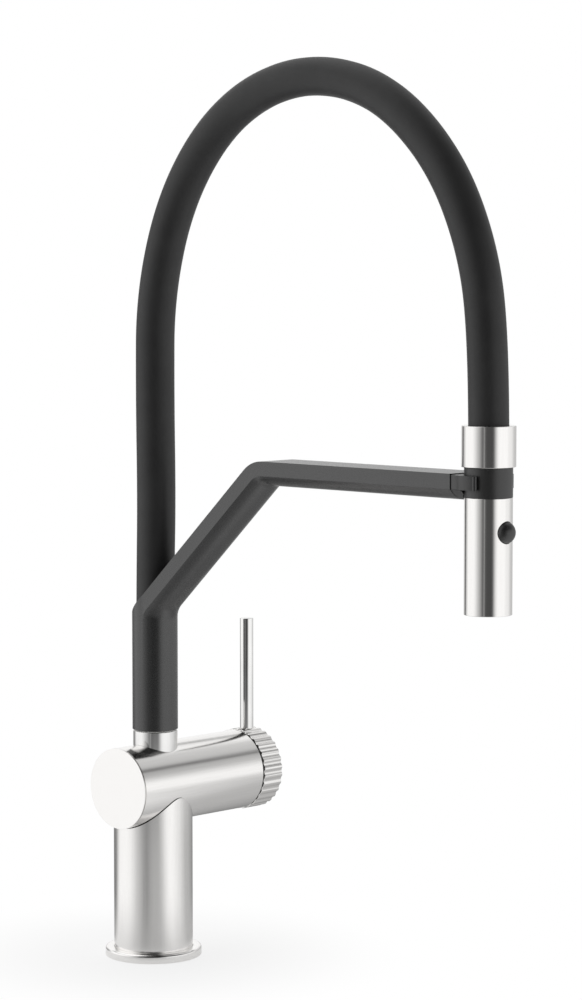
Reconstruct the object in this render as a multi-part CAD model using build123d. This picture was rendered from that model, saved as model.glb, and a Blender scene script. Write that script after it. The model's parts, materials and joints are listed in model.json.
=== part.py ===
from build123d import *
import math
import os

# Semi-professional kitchen tap. An upright column carries a horizontal mixing
# barrel. A swivel spout arm rises from the barrel, holds the spray handset in
# a clip and lets the arched hose out of its slanted mouth.
#
# Millimetres. The origin is the centre of the base on the worktop, +Z is up,
# the barrel lies along X with the lever at +X, and the spout points to -Y.
# "Reach" is the distance from the column's axis towards -Y. The collar and all
# that turns on it stand a little off the column's axis, towards the lever.

# Fits
slip_fit = 0.1
running_fit = 0.06
rest_gap = 0.3

# Base flange and its seal
flange_radius = 27.5
flange_height = 5.0
flange_edge = 0.5
ledge_height = 2.0
ledge_width = 4.0
seal_margin = 1.7
seal_width = 2.2
seal_thickness = 1.5

# Column
column_radius = 22.5
column_wall = 2.5
saddle_seam = 0.25

# Mixing barrel, its end cap and what it holds
barrel_radius = 22.9
barrel_axis_height = 98.8
barrel_left_reach = 27.3
barrel_right_reach = 66.4
end_cap_thickness = 3.0
end_cap_edge = 0.3
plug_length = 4.0
insert_radius = 17.5
insert_fit = 0.2
seal_section = 1.5
block_right = 24.0
cartridge_length = 33.0
cartridge_hub_radius = 12.0
cartridge_hub_length = 6.0
nut_radius = 19.2
nut_slot_width = 3.0
nut_slot_depth = 1.6
nut_slots = 6
nut_setback = 0.5

# Waterways
channel_radius = 2.6
inlet_offset = 6.4
inlet_setback = 3.0
cold_port_drop = 9.3
hot_port_rise = 0.7
mixed_port_rise = 6.7
mixed_port_setback = 5.0
port_seal_width = 1.4
port_seal_depth = 1.2
inlet_seal_width = 1.1
mixed_floor_web = 1.4

# Inlet core in the column, with threaded holes from below
core_bottom = 8.0
core_foot_height = 18.0
core_waist_radius = 13.5
core_head_height = 12.0
core_head_drop = 3.9
neck_radius = 12.0
neck_seat_drop = 14.8
inlet_thread_radius = 4.5
inlet_thread_depth = 15.0
stud_thread_radius = 3.4
stud_thread_depth = 15.0
stud_offset = 10.5

# Knob, spindle and lever rod
knob_gap = 0.9
knob_length = 14.6
knob_edge = 0.4
flute_count = 30
flute_depth = 0.55
knob_recess_wall = 3.3
knob_recess_depth = 3.0
spindle_radius = 4.0
spindle_inset = 12.0
spindle_knob_cover = 3.6
rod_radius = 3.94
rod_from_knob_face = 8.2
rod_top_above_axis = 88.5
rod_seat_above_axis = 11.0
rod_edge = 0.3
grub_radius = 2.0
grub_length = 6.0
grub_socket_radius = 1.0
grub_socket_depth = 3.0

# Collar, outlet spigot and the bearing of the spout
spout_axis_offset = 1.9
collar_radius = 12.7
collar_rise = 7.6
collar_edge = 0.3
spigot_radius = 8.0
spigot_bore_radius = 4.5
spigot_socket_height = 10.2
spigot_top_rise = 39.8
spigot_seal_heights = (32.3, 36.3)
spigot_seal_width = 1.6
spigot_seal_depth = 1.3
spigot_seal_clearance = 0.08
glide_thickness = 0.6
glide_rim = 0.5
bush_length = 16.0
bush_wall = 1.54
bush_setback = 0.8
hub_height = 41.8
hub_roof_height = 32.8
hub_bore_gap = 0.3
water_bore_radius = 2.5
screw_height = 20.3
screw_radius = 2.0
screw_tip_radius = 0.9
screw_tip_length = 1.5
screw_socket_radius = 1.0
screw_socket_depth = 1.5
screw_groove_width = 2.2
screw_groove_depth = 1.2

# Spout arm: round riser, then a flat-topped bar with a bowed belly
riser_radius = 13.0
riser_bore_radius = 11.0
mouth_rise = 74.65
bar_half_width = 12.6
bar_side_height = 7.9
bar_belly_depth = 6.0
arm_rise = 157.65
diagonal_pitch = 42.6
low_bend_inner_radius = 12.0
high_bend_outer_radius = 20.0
handset_reach = 248.5
arm_end_setback = 15.1

# Holder clip and its fixing
clip_inner_gap = 0.3
clip_wall = 2.4
clip_thickening = 2.8
clip_height = 7.3
clip_inset = 0.5
clip_wrap = 105.8
clip_lip_radius = 15.5
clip_lip_width = 1.0
clip_root_length = 7.0
clip_corner = 1.5
tongue_width = 12.0
tongue_height = 5.0
tongue_length = 14.0
clip_screw_radius = 1.5
clip_screw_head_radius = 2.6
clip_screw_head_height = 1.4
clip_screw_setback = 8.0
clip_screw_grip = 4.0
clip_screw_socket_radius = 1.2

# Hose
cover_radius = 10.45
water_hose_radius = 6.0
water_hose_bore_radius = 4.0
cover_fit = 0.1
ferrule_radius = 8.1
ferrule_length = 14.0
nipple_radius = 3.9
nipple_length = 12.0

# Handset: sleeve at the hose, docking band, spray shell
sleeve_radius = 14.05
sleeve_height = 21.0
sleeve_edge = 0.4
sleeve_floor = 4.5
sleeve_bore_gap = 0.35
sleeve_above_arm = 3.65
ferrule_flange = 1.0
neck_pin_radius = 5.5
neck_pin_length = 15.5
neck_clip_radius = 7.2
neck_clip_thickness = 0.8
neck_clip_groove = 0.5
neck_clip_drop = 9.2
neck_seal_depth = 1.0
neck_seal_width = 1.6
neck_seal_rise = 1.2
band_radius = 12.5
band_height = 15.2
band_web = 3.2
band_wall = 2.0
band_edge = 0.3
lip_length = 5.0
lip_wall = 0.9
shell_radius = 12.48
shell_wall = 1.5
shell_length = 60.0
shell_edge = 0.5
core_top_gap = 3.2
valve_socket_depth = 5.0
check_valve_radius = 4.9
check_valve_length = 16.0
spray_chamber_radius = 8.4
spray_chamber_height = 12.0

# Spray face
face_recess = 1.0
face_thickness = 4.0
nozzle_count = 12
nozzle_circle_radius = 7.0
nozzle_radius = 0.8
nozzle_stand_out = 0.7
mat_inner_radius = 5.4
mat_thickness = 1.0
aerator_radius = 4.5
aerator_stand_out = 0.4
aerator_holes = 6
aerator_hole_radius = 0.7
aerator_hole_circle = 2.6

# Spray button and the diverter behind it
button_radius = 5.65
button_gap = 0.2
button_height = 42.6
button_inset = 0.93
button_skirt = 2.55
button_pocket_depth = 3.4
button_bore_radius = 3.8
button_bore_depth = 3.0
button_travel = 2.0
spool_radius = 2.5
spool_waist_radius = 1.3
spool_waist_length = 6.0
spool_length = 16.0
spool_end_gap = 0.5
spring_mean_radius = 3.2
spring_wire_radius = 0.3
spring_turns = 4

# Places that follow from the sizes above
barrel_left = -barrel_left_reach + end_cap_thickness
barrel_crown = barrel_axis_height + barrel_radius
block_left = barrel_left + plug_length + rest_gap
cartridge_shoulder = block_right + cartridge_length
cartridge_end = cartridge_shoulder + cartridge_hub_length
insert_bore_radius = insert_radius + insert_fit
knob_left = barrel_right_reach + knob_gap
knob_right = knob_left + knob_length
rod_station = knob_left + rod_from_knob_face
core_head_top = barrel_axis_height - barrel_radius - core_head_drop
neck_seat = barrel_axis_height - neck_seat_drop
spigot_seat = barrel_axis_height + spigot_socket_height
collar_top = barrel_crown + collar_rise
spigot_top = barrel_crown + spigot_top_rise
glide_top = collar_top + glide_thickness
arm_bottom = glide_top + rest_gap
hub_top = arm_bottom + hub_height
hub_roof = arm_bottom + hub_roof_height
hub_radius = riser_bore_radius - slip_fit
screw_axis_height = arm_bottom + screw_height
bar_depth = bar_side_height + bar_belly_depth
mouth_height = arm_bottom + mouth_rise
arm_top = arm_bottom + arm_rise
arm_end = handset_reach - arm_end_setback
diagonal_slope = math.tan(math.radians(diagonal_pitch))
clip_top = arm_top - clip_inset
clip_inner_radius = band_radius + clip_inner_gap
clip_outer_radius = clip_inner_radius + clip_wall
sleeve_bottom = arm_top + sleeve_above_arm
hose_seat = sleeve_bottom + sleeve_floor + ferrule_flange
neck_pin_bottom = sleeve_bottom + sleeve_floor - neck_pin_length
band_top = sleeve_bottom - rest_gap
band_bottom = band_top - band_height
shell_bottom = band_bottom - shell_length
shell_bore_radius = shell_radius - shell_wall
lip_radius = shell_bore_radius - slip_fit
spray_core_radius = lip_radius - lip_wall - slip_fit
spray_core_top = band_top - band_web - core_top_gap
face_bottom = shell_bottom + face_recess
face_top = face_bottom + face_thickness
button_axis_height = shell_bottom + button_height
button_dome_reach = handset_reach + shell_radius - button_inset
button_back_reach = button_dome_reach - button_skirt
pocket_floor_reach = handset_reach + spray_core_radius - button_pocket_depth
spool_front_reach = button_back_reach + button_bore_depth
spool_back_reach = spool_front_reach - spool_length

# The hose leaves the riser, arches over and comes down into the handset.
# Points are (reach, height) along its centre line.
hose_route = [
    (0, hub_top), (0, 217), (1, 262), (0.5, 320), (2, 379), (21.5, 436), (60.5, 479),
    (114.5, 497), (171.5, 487), (216.5, 450), (241.5, 401), (handset_reach, 349),
    (handset_reach, hose_seat),
]
hose_bend_share = 0.45

FROM_BASE = (Align.CENTER, Align.CENTER, Align.MIN)
FROM_EDGE = (Align.CENTER, Align.MIN, Align.MIN)


def upright(radius, low, high, x=0.0, reach=0.0):
    """Upright cylinder between two heights."""
    return Pos(x, -reach, low) * Cylinder(radius, high - low, align=FROM_BASE)


def upright_ring(outer, inner, low, high, reach=0.0):
    """Upright tube between two heights."""
    return upright(outer, low, high, 0, reach) - upright(inner, low, high, 0, reach)


def lengthwise(radius, left, right, y=0.0, rise=0.0):
    """Cylinder along X, placed from the barrel's axis."""
    start = Pos(left, y, barrel_axis_height + rise)
    return start * Rot(0, 90, 0) * Cylinder(radius, right - left, align=FROM_BASE)


def lengthwise_ring(outer, inner, left, right, y=0.0, rise=0.0):
    """Tube along X, placed from the barrel's axis."""
    return lengthwise(outer, left, right, y, rise) - lengthwise(inner, left, right, y, rise)


def outward(radius, near, far, height, x=0.0):
    """Cylinder along -Y between two reaches."""
    return Pos(x, -near, height) * Rot(90, 0, 0) * Cylinder(radius, far - near, align=FROM_BASE)


def turned(profile, reach=0.0):
    """Solid of revolution about an upright axis from (radius, height) points."""
    outline = Polyline(*[(radius, 0, height) for radius, height in profile], close=True)
    return Pos(0, -reach, 0) * revolve(make_face(outline), Axis.Z)


def edged_ring(outer, inner, low, high, edge, reach=0.0):
    """Upright tube with its two outer edges chamfered."""
    profile = [
        (inner, low), (outer - edge, low), (outer, low + edge),
        (outer, high - edge), (outer - edge, high), (inner, high),
    ]
    return turned(profile, reach)


def around(count):
    """Angles of a regular pattern, in degrees."""
    return [360.0 * step / count for step in range(count)]


# Base and column

def deck_seal():
    outer = flange_radius - seal_margin
    return upright_ring(outer, outer - seal_width, 0, seal_thickness)


def base_flange():
    top_edge = [(flange_radius, flange_height - flange_edge), (flange_radius - flange_edge, flange_height)]
    counterbore = column_radius + slip_fit
    profile = [(column_radius - ledge_width, 0), (flange_radius, 0)] + top_edge + [
        (counterbore, flange_height), (counterbore, ledge_height),
        (column_radius - ledge_width, ledge_height),
    ]
    outer = flange_radius - seal_margin
    return turned(profile) - upright_ring(outer, outer - seal_width, 0, seal_thickness)


def column():
    tube = upright_ring(column_radius, column_radius - column_wall, ledge_height, barrel_axis_height)
    saddle = lengthwise(barrel_radius + saddle_seam, -2 * column_radius, 2 * column_radius)
    return tube - saddle


def inlet_channels(low, high):
    """The two supply channels, hot at -X and cold at +X."""
    channels = upright(channel_radius, low, high, inlet_offset, inlet_setback)
    return channels + upright(channel_radius, low, high, -inlet_offset, inlet_setback)


def inlet_core():
    bore = column_radius - column_wall - slip_fit
    foot_top = core_bottom + core_foot_height
    head_bottom = core_head_top - core_head_height
    core = turned([
        (0, core_bottom), (bore, core_bottom), (bore, foot_top), (core_waist_radius, foot_top),
        (core_waist_radius, head_bottom), (bore, head_bottom), (bore, core_head_top),
        (neck_radius, core_head_top), (neck_radius, neck_seat), (0, neck_seat),
    ])
    core -= inlet_channels(core_bottom, neck_seat)
    for side in (-1, 1):
        thread_top = core_bottom + inlet_thread_depth
        core -= upright(inlet_thread_radius, core_bottom, thread_top, side * inlet_offset, inlet_setback)
        groove = upright(channel_radius + inlet_seal_width, neck_seat - port_seal_depth, neck_seat,
                         side * inlet_offset, inlet_setback)
        core -= groove
    core -= upright(stud_thread_radius, core_bottom, core_bottom + stud_thread_depth, 0, -stud_offset)
    return core


def inlet_seals():
    seals = []
    for side in (-1, 1):
        low = neck_seat - port_seal_depth
        x = side * inlet_offset
        ring = upright(channel_radius + inlet_seal_width, low, neck_seat, x, inlet_setback)
        seals.append(ring - upright(channel_radius, low, neck_seat, x, inlet_setback))
    return Compound(children=seals)


# Mixing barrel

def mixing_barrel():
    barrel = lengthwise(barrel_radius, barrel_left, barrel_right_reach)
    barrel -= lengthwise(insert_bore_radius, barrel_left, barrel_right_reach)
    barrel -= lengthwise(nut_radius + slip_fit, cartridge_shoulder, barrel_right_reach)
    barrel -= upright(neck_radius + slip_fit, core_head_top, barrel_axis_height)
    barrel -= upright(spigot_radius + slip_fit, barrel_axis_height, collar_top, spout_axis_offset)
    return barrel


def port_places():
    """(y, rise above the barrel's axis) of the cold, hot and mixed ports."""
    return [
        (-inlet_setback, -cold_port_drop),
        (-inlet_setback, hot_port_rise),
        (mixed_port_setback, mixed_port_rise),
    ]


def waterway_block():
    block = lengthwise(insert_radius, block_left, block_right)
    block -= upright(neck_radius + slip_fit, neck_seat - insert_radius, neck_seat)
    cold, hot, mixed = port_places()
    for port, x in ((cold, inlet_offset), (hot, -inlet_offset)):
        y, rise = port
        block -= upright(channel_radius, neck_seat, barrel_axis_height + rise, x, inlet_setback)
        block -= lengthwise(channel_radius, x - channel_radius, block_right, y, rise)
    y, rise = mixed
    block -= lengthwise(channel_radius, spout_axis_offset, block_right, y, rise)
    mixed_floor = barrel_axis_height + hot_port_rise + channel_radius + mixed_floor_web
    block -= upright(spigot_bore_radius, mixed_floor, spigot_seat, spout_axis_offset)
    block -= upright(spigot_radius + slip_fit, spigot_seat, barrel_crown, spout_axis_offset)
    return block


def end_cap():
    face = -barrel_left_reach
    disc = lengthwise(barrel_radius, face, barrel_left)
    disc = chamfer(disc.edges().group_by(Axis.X)[0], end_cap_edge)
    plug = lengthwise(insert_radius, barrel_left, barrel_left + plug_length)
    middle = barrel_left + plug_length / 2
    groove = lengthwise_ring(insert_bore_radius, insert_radius - seal_section,
                             middle - seal_section / 2, middle + seal_section / 2)
    return disc + plug - groove


def end_cap_seal():
    middle = barrel_left + plug_length / 2
    return lengthwise_ring(insert_bore_radius, insert_radius - seal_section,
                           middle - seal_section / 2, middle + seal_section / 2)


def cartridge():
    body = lengthwise(insert_radius, block_right, cartridge_shoulder)
    body += lengthwise(cartridge_hub_radius, cartridge_shoulder, cartridge_end)
    body -= lengthwise(spindle_radius + running_fit, cartridge_end - spindle_inset - rest_gap, cartridge_end)
    for y, rise in port_places():
        body -= lengthwise(channel_radius, block_right, block_right + channel_radius, y, rise)
        body -= lengthwise(channel_radius + port_seal_width, block_right,
                           block_right + port_seal_depth, y, rise)
    return body


def cartridge_seals():
    seals = [
        lengthwise_ring(channel_radius + port_seal_width, channel_radius, block_right,
                        block_right + port_seal_depth, y, rise)
        for y, rise in port_places()
    ]
    return Compound(children=seals)


def cartridge_nut():
    right = barrel_right_reach - nut_setback
    nut = lengthwise_ring(nut_radius, cartridge_hub_radius + insert_fit, cartridge_shoulder, right)
    slot = Pos(right, 0, barrel_axis_height) * Box(2 * nut_slot_depth, nut_slot_width, 3 * nut_radius)
    axis = Axis((0, 0, barrel_axis_height), (1, 0, 0))
    for angle in around(nut_slots)[: nut_slots // 2]:
        nut -= slot.rotate(axis, angle)
    return nut


# Knob and lever

def fluted_outline():
    """Concave flutes between sharp ridges, on the knob's end plane."""
    ridge = barrel_radius
    valley = barrel_radius - flute_depth
    half_pitch = 180.0 / flute_count
    flutes = []
    for angle in around(flute_count):
        places = [(ridge, angle), (valley, angle + half_pitch), (ridge, angle + 2 * half_pitch)]
        points = [
            (knob_left, r * math.sin(math.radians(a)), barrel_axis_height + r * math.cos(math.radians(a)))
            for r, a in places
        ]
        flutes.append(ThreePointArc(*points))
    return make_face(Wire(flutes))


def knob():
    fluted = extrude(fluted_outline(), amount=knob_length, dir=(1, 0, 0))
    blank = lengthwise(barrel_radius, knob_left, knob_right)
    blank = chamfer(blank.edges().filter_by(GeomType.CIRCLE), knob_edge)
    body = fluted & blank
    body -= lengthwise(barrel_radius - knob_recess_wall, knob_left, knob_left + knob_recess_depth)
    spindle_end = knob_right - spindle_knob_cover
    body -= lengthwise(spindle_radius + slip_fit, knob_left, spindle_end)
    body -= upright(grub_radius + slip_fit, barrel_axis_height, barrel_crown, rod_station)
    body -= upright(rod_radius + running_fit, barrel_axis_height + rod_seat_above_axis - rest_gap,
                    barrel_crown + flute_depth, rod_station)
    return body


def cartridge_spindle():
    spindle_end = knob_right - spindle_knob_cover - rest_gap
    return lengthwise(spindle_radius, cartridge_end - spindle_inset, spindle_end)


def knob_grub_screw():
    low = barrel_axis_height + spindle_radius + slip_fit
    socket = extrude(RegularPolygon(grub_socket_radius, 6), grub_socket_depth)
    screw = upright(grub_radius, low, low + grub_length, rod_station)
    return screw - Pos(rod_station, 0, low + grub_length - grub_socket_depth) * socket


def lever_rod():
    low = barrel_axis_height + rod_seat_above_axis
    rod = upright(rod_radius, low, barrel_axis_height + rod_top_above_axis, rod_station)
    return chamfer(rod.edges().group_by(Axis.Z)[-1], rod_edge)


# Collar, spigot and the spout's bearing

def spout_collar():
    bore = spigot_radius + 2 * slip_fit
    collar = edged_ring(collar_radius, bore, barrel_axis_height, collar_top, collar_edge)
    return collar - lengthwise(barrel_radius + slip_fit / 2, -collar_radius * 2, collar_radius * 2)


def outlet_spigot():
    spigot = upright_ring(spigot_radius, spigot_bore_radius, spigot_seat, spigot_top)
    for rise in spigot_seal_heights:
        middle = barrel_crown + rise
        spigot -= upright_ring(spigot_radius + slip_fit, spigot_radius - spigot_seal_depth,
                               middle - spigot_seal_width / 2, middle + spigot_seal_width / 2)
    spigot -= upright_ring(spigot_radius + slip_fit, spigot_radius - screw_groove_depth,
                           screw_axis_height - screw_groove_width / 2,
                           screw_axis_height + screw_groove_width / 2)
    return spigot


def spigot_seals():
    seals = Part()
    for rise in spigot_seal_heights:
        middle = barrel_crown + rise
        seals += upright_ring(spigot_radius + hub_bore_gap - spigot_seal_clearance,
                              spigot_radius - spigot_seal_depth,
                              middle - spigot_seal_width / 2, middle + spigot_seal_width / 2)
    return seals


def glide_ring():
    return upright_ring(collar_radius - glide_rim, spigot_radius + 2 * slip_fit, collar_top, glide_top)


def bush_outer_radius():
    return spigot_radius + running_fit + bush_wall


def swivel_bush():
    low = arm_bottom + bush_setback
    return upright_ring(bush_outer_radius(), spigot_radius + running_fit, low, low + bush_length)


def spout_hub():
    hub = upright(hub_radius, arm_bottom, hub_top) + upright(nipple_radius, hub_top, hub_top + nipple_length)
    hub -= upright(water_bore_radius, hub_roof, hub_top + nipple_length)
    hub -= upright(spigot_radius + hub_bore_gap, arm_bottom, hub_roof)
    bush_top = arm_bottom + bush_setback + bush_length
    hub -= upright(bush_outer_radius() + slip_fit, arm_bottom, bush_top + slip_fit)
    hub -= outward(screw_radius + slip_fit, -riser_radius, 0, screw_axis_height)
    return hub


def hub_screw():
    groove_floor = spigot_radius - screw_groove_depth
    tip = groove_floor + rest_gap
    shoulder = tip + screw_tip_length
    head = riser_radius - rest_gap
    screw = outward(screw_radius, -head, -shoulder, screw_axis_height)
    screw += outward(screw_tip_radius, -shoulder, -tip, screw_axis_height)
    socket = extrude(RegularPolygon(screw_socket_radius, 6), screw_socket_depth)
    return screw - Pos(0, head - screw_socket_depth, screw_axis_height) * Rot(-90, 0, 0) * socket


# Spout arm

def bar_section(half_width, side_height, belly_depth, plane):
    """Flat top at the plane's X axis, straight sides and a bowed belly."""
    left_foot, right_foot = (-half_width, -side_height), (half_width, -side_height)
    sides = Polyline(left_foot, (-half_width, 0), (half_width, 0), right_foot)
    belly = ThreePointArc(right_foot, (0, -side_height - belly_depth), left_foot)
    return plane * make_face(Wire([*sides.edges(), *belly.edges()]))


def across(reach, height, pitch):
    """Plane square to a run that climbs at a pitch towards -Y."""
    angle = math.radians(pitch)
    run = (0, -math.cos(angle), math.sin(angle))
    return Plane(origin=(0, -reach, height), x_dir=(1, 0, 0), z_dir=run)


def above_mouth():
    """Everything above the riser's slanted mouth."""
    angle = math.radians(diagonal_pitch)
    slant = Plane(origin=(0, 0, mouth_height), x_dir=(1, 0, 0), z_dir=(0, math.sin(angle), math.cos(angle)))
    return slant * Box(6 * riser_radius, 6 * riser_radius, 4 * riser_radius, align=FROM_BASE)


def riser():
    """Round tube, cut off at the slanted mouth."""
    return upright(riser_radius, arm_bottom, mouth_height + 2 * riser_radius) - above_mouth()


def bar():
    """Bar that leaves the riser level with its mouth, climbs at the diagonal's pitch and runs level."""
    tail = mouth_height - riser_radius * diagonal_slope
    corner_reach = (arm_top - mouth_height) / diagonal_slope
    path = FilletPolyline((0, riser_radius, tail), (0, -corner_reach, arm_top), (0, -arm_end, arm_top),
                          radius=high_bend_outer_radius)
    section = bar_section(bar_half_width, bar_side_height, bar_belly_depth,
                          across(-riser_radius, tail, diagonal_pitch))
    behind_axis = Box(4 * riser_radius, 4 * riser_radius, 2 * mouth_rise, align=FROM_EDGE)
    return sweep(section, path=path) - Pos(0, 0, arm_bottom) * behind_axis


def elbow():
    """Riser and bar in one, with the inside of their corner rounded."""
    joined = riser() + bar()
    belly_drop = bar_depth / math.cos(math.radians(diagonal_pitch))
    corner = (0, -riser_radius, mouth_height + riser_radius * diagonal_slope - belly_drop)
    return fillet(joined.edges().sort_by_distance(corner)[0], low_bend_inner_radius)


def support_arm():
    arm = elbow()
    arm -= upright(riser_bore_radius, arm_bottom, mouth_height + 2 * riser_radius)
    arm -= outward(screw_radius + slip_fit, -2 * riser_radius, 0, screw_axis_height)
    arm -= clip_tongue(slip_fit)
    screw_reach = arm_end - clip_screw_setback
    arm -= upright(clip_screw_radius + slip_fit, arm_top - bar_depth, tongue_floor(), 0, screw_reach)
    head_seat = arm_top - bar_depth + clip_screw_head_height
    head_bore = clip_screw_head_radius + slip_fit
    return arm - upright(head_bore, arm_top - 2 * bar_depth, head_seat + slip_fit, 0, screw_reach)


# Holder clip

def tongue_floor():
    return arm_top - (bar_depth + tongue_height) / 2


def clip_tongue(allowance):
    """Tongue of the clip in the arm's end, or its socket when an allowance is given."""
    low = tongue_floor() - allowance
    centre = Pos(0, -arm_end + tongue_length / 2 + allowance / 2, low)
    return centre * Box(tongue_width + 2 * allowance, tongue_length + allowance,
                        tongue_height + 2 * allowance, align=FROM_BASE)


def clip_lips():
    """Small lips that turn outwards at the clip's two tips."""
    lips = Part()
    for side in (-1, 1):
        lip = Box(clip_lip_width, clip_lip_radius - clip_inner_radius, clip_height, align=FROM_EDGE)
        lip = Pos(-side * clip_lip_width / 2, clip_inner_radius, clip_top - clip_height) * lip
        lips += Pos(0, -handset_reach, 0) * Rot(0, 0, -side * clip_wrap) * lip
    return lips


def holder_clip():
    root = extrude(
        bar_section(bar_half_width - clip_inset, bar_side_height - clip_inset, bar_belly_depth,
                    across(arm_end, clip_top, 0)),
        amount=clip_root_length,
    )
    root = fillet(root.edges().filter_by(Axis.Z).group_by(Axis.Y)[0], clip_corner)
    ring = upright(clip_outer_radius, clip_top - clip_height, clip_top, 0, handset_reach - clip_thickening)
    over_arm = Box(2 * clip_outer_radius, clip_outer_radius, clip_height, align=FROM_EDGE)
    ring -= Pos(0, -arm_end, clip_top - clip_height) * over_arm
    open_angle = math.radians(180 - clip_wrap)
    spread = 2 * clip_outer_radius
    mouth = make_face(Polyline(
        (0, 0), (-spread * math.sin(open_angle), -spread * math.cos(open_angle)), (0, -2 * spread),
        (spread * math.sin(open_angle), -spread * math.cos(open_angle)), close=True,
    ))
    ring -= Pos(0, -handset_reach, clip_top - clip_height) * extrude(mouth, clip_height)
    body = root + ring + clip_lips()
    body -= upright(clip_inner_radius, clip_top - 2 * bar_depth, clip_top, 0, handset_reach)
    body += clip_tongue(0)
    screw_reach = arm_end - clip_screw_setback
    return body - upright(clip_screw_radius + slip_fit / 2, tongue_floor(), tongue_floor() + clip_screw_grip,
                          0, screw_reach)


def clip_screw():
    reach = arm_end - clip_screw_setback
    belly = arm_top - bar_depth
    screw = upright(clip_screw_head_radius, belly + rest_gap, belly + clip_screw_head_height, 0, reach)
    screw += upright(clip_screw_radius, belly + clip_screw_head_height,
                     tongue_floor() + clip_screw_grip - slip_fit, 0, reach)
    socket = extrude(RegularPolygon(clip_screw_socket_radius, 6), clip_screw_head_height)
    return screw - Pos(0, -reach, belly - rest_gap) * socket


# Hose

def hose_path():
    """Straight runs joined by arcs as large as their runs allow, with the arcs' radii."""
    points = [Vector(0, -reach, height) for reach, height in hose_route]
    radii = []
    for before, corner, after in zip(points, points[1:], points[2:]):
        shorter = min((corner - before).length, (after - corner).length)
        turn = math.radians((corner - before).get_angle(after - corner))
        radii.append(hose_bend_share * shorter / math.tan(turn / 2))
    return FilletPolyline(*points, radius=radii), radii


def along_hose(radius, bore):
    path, radii = hose_path()
    start = Plane(origin=path @ 0, x_dir=(1, 0, 0), z_dir=path % 0)
    return sweep(start * Circle(radius), path=path) - sweep(start * Circle(bore), path=path)


def hose_cover():
    """Silicone skin with the support coil moulded in, opened out for the ferrules."""
    cover = along_hose(cover_radius, water_hose_radius + cover_fit)
    pocket = ferrule_radius + slip_fit
    cover -= upright(pocket, hub_top, hub_top + ferrule_length + slip_fit)
    cover -= upright(pocket, hose_seat, hose_seat + ferrule_length + slip_fit, 0, handset_reach)
    return cover


def water_hose():
    return along_hose(water_hose_radius, water_hose_bore_radius)


def ferrule_barrel(seat, reach):
    bore = water_hose_radius + cover_fit / 2
    return upright_ring(ferrule_radius, bore, seat, seat + ferrule_length, reach)


def lower_ferrule():
    return ferrule_barrel(hub_top, 0)


def upper_ferrule():
    """Ferrule, hose nipple and the pin that the handset turns on."""
    reach = handset_reach
    flange_bottom = hose_seat - ferrule_flange
    ferrule = upright(cover_radius + sleeve_bore_gap - slip_fit, flange_bottom, hose_seat, 0, reach)
    ferrule += ferrule_barrel(hose_seat, reach)
    ferrule += upright(nipple_radius, hose_seat, hose_seat + nipple_length, 0, reach)
    ferrule += upright(neck_pin_radius, neck_pin_bottom, flange_bottom, 0, reach)
    ferrule -= upright(water_bore_radius, neck_pin_bottom, hose_seat + nipple_length, 0, reach)
    clip_groove_low = flange_bottom - neck_clip_drop
    ferrule -= upright_ring(neck_clip_radius, neck_pin_radius - neck_clip_groove, clip_groove_low,
                            clip_groove_low + neck_clip_thickness, reach)
    seal_low = neck_pin_bottom + neck_seal_rise
    ferrule -= upright_ring(neck_clip_radius, neck_pin_radius - neck_seal_depth, seal_low,
                            seal_low + neck_seal_width, reach)
    return ferrule


def neck_seal():
    low = neck_pin_bottom + neck_seal_rise
    bore = neck_pin_radius - neck_seal_depth
    return upright_ring(neck_pin_radius, bore, low, low + neck_seal_width, handset_reach)


def neck_clip():
    low = hose_seat - ferrule_flange - neck_clip_drop
    ring = upright_ring(neck_clip_radius, neck_pin_radius - neck_clip_groove, low,
                        low + neck_clip_thickness, handset_reach)
    gap = Pos(0, -handset_reach + neck_clip_radius, low)
    return ring - gap * Box(neck_pin_radius, 2 * neck_clip_radius, neck_clip_thickness, align=FROM_BASE)


# Handset

def handset_sleeve():
    bore = cover_radius + sleeve_bore_gap
    floor = sleeve_bottom + sleeve_floor
    sleeve = edged_ring(sleeve_radius, neck_pin_radius + slip_fit, sleeve_bottom,
                        sleeve_bottom + sleeve_height, sleeve_edge, handset_reach)
    return sleeve - upright(bore, floor, sleeve_bottom + sleeve_height, 0, handset_reach)


def docking_band():
    bore = neck_pin_radius + running_fit
    band = edged_ring(band_radius, bore, band_bottom, band_top, band_edge, handset_reach)
    band += upright(lip_radius, band_bottom - lip_length, band_bottom, 0, handset_reach)
    band -= upright(band_radius - band_wall, band_bottom, band_top - band_web, 0, handset_reach)
    return band - upright(lip_radius - lip_wall, band_bottom - lip_length, band_bottom, 0, handset_reach)


def spray_shell():
    profile = [
        (shell_bore_radius, shell_bottom), (shell_radius - shell_edge, shell_bottom),
        (shell_radius, shell_bottom + shell_edge), (shell_radius, band_bottom),
        (shell_bore_radius, band_bottom),
    ]
    outside = handset_reach + 2 * shell_radius
    window = outward(button_radius + button_gap, handset_reach, outside, button_axis_height)
    return turned(profile, handset_reach) - window


def spray_core():
    """Inner valve body: sockets above, cross bore for the diverter, spray chamber below."""
    reach = handset_reach
    valve_top = spray_core_top - valve_socket_depth
    valve_bottom = valve_top - check_valve_length - 2 * rest_gap
    core = upright(spray_core_radius, face_top, spray_core_top, 0, reach)
    core -= upright(neck_pin_radius + running_fit, valve_top, spray_core_top, 0, reach)
    core -= upright(check_valve_radius + slip_fit, valve_bottom, valve_top, 0, reach)
    core -= upright(water_bore_radius, face_top, valve_bottom, 0, reach)
    core -= upright(spray_chamber_radius, face_top, face_top + spray_chamber_height, 0, reach)
    core -= outward(button_radius + button_gap, pocket_floor_reach, reach + shell_radius, button_axis_height)
    cross_end = spool_back_reach - button_travel - spool_end_gap
    core -= outward(spool_radius + running_fit, cross_end, pocket_floor_reach, button_axis_height)
    return core


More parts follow.
